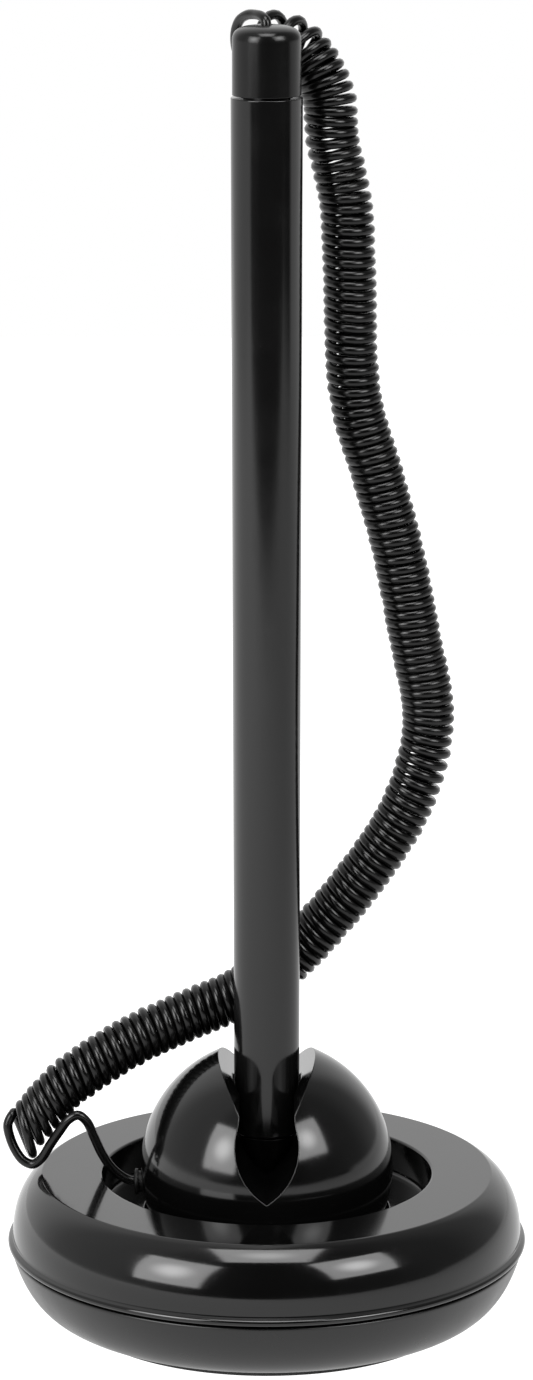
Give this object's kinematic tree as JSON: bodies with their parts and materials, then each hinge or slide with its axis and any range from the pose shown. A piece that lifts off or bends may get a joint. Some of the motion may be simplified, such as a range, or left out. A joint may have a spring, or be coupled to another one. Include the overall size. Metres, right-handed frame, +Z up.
{
  "type": "counter pen stand",
  "caption": "Counter pen on a coiled tether, standing upright in the groove of a tilting ball on a round weighted base.",
  "frame": {"origin": "centre of the foot pad's underside, on the axis of the base", "axes": "+Z up along the pen, -Y towards the user, -X the side where the tether enters the ball"},
  "size_m": [0.075, 0.075, 0.1885],
  "materials": {
    "gloss_black": "glossy moulded ABS",
    "satin_black": "satin moulded ABS",
    "tether_black": "glossy extruded polyurethane",
    "nylon_grey": "natural grey nylon",
    "pad": "matt black foam rubber",
    "steel": "zinc-plated steel",
    "brass": "turned brass",
    "ink_tube": "clear tube filled with ink"
  },
  "bodies": {
    "base": {"foot_pad": "pad", "base_pan": "satin_black", "base_cover": "gloss_black", "ballast_ring": "steel", "friction_washer": "pad", "base_screw_1": "steel", "base_screw_2": "steel", "base_screw_3": "steel"},
    "swivel": {"socket_cup": "nylon_grey", "clamp_dome": "steel", "clamp_screw": "steel", "clamp_nut": "steel"},
    "ball": {"ball_shell": "gloss_black", "ball_bowl": "satin_black", "tip_cup": "nylon_grey", "tether_anchor": "satin_black", "tether_stop_lower": "steel", "tether_strand": "tether_black"},
    "pen": {"pen_barrel": "gloss_black", "pen_cap": "gloss_black", "nose_cone": "satin_black", "refill_tube": "ink_tube", "refill_tip": "brass", "tether_stop_upper": "steel", "tether_lead": "tether_black", "tether_coil": "tether_black"}
  },
  "joints": [
    {"name": "swivel_turn", "type": "hinge", "parent": "base", "child": "swivel", "pos_m": [0, 0, 0.0218], "axis": [0, 0, 1], "continuous": true},
    {"name": "ball_tilt", "type": "hinge", "parent": "swivel", "child": "ball", "pos_m": [0, 0, 0.0218], "axis": [1, 0, 0], "range_deg": [-20, 20]},
    {"name": "pen_lift", "type": "slide", "parent": "ball", "child": "pen", "axis": [0, 0, 1], "range_m": [0, 0.045], "deforming": ["tether_coil"]}
  ]
}
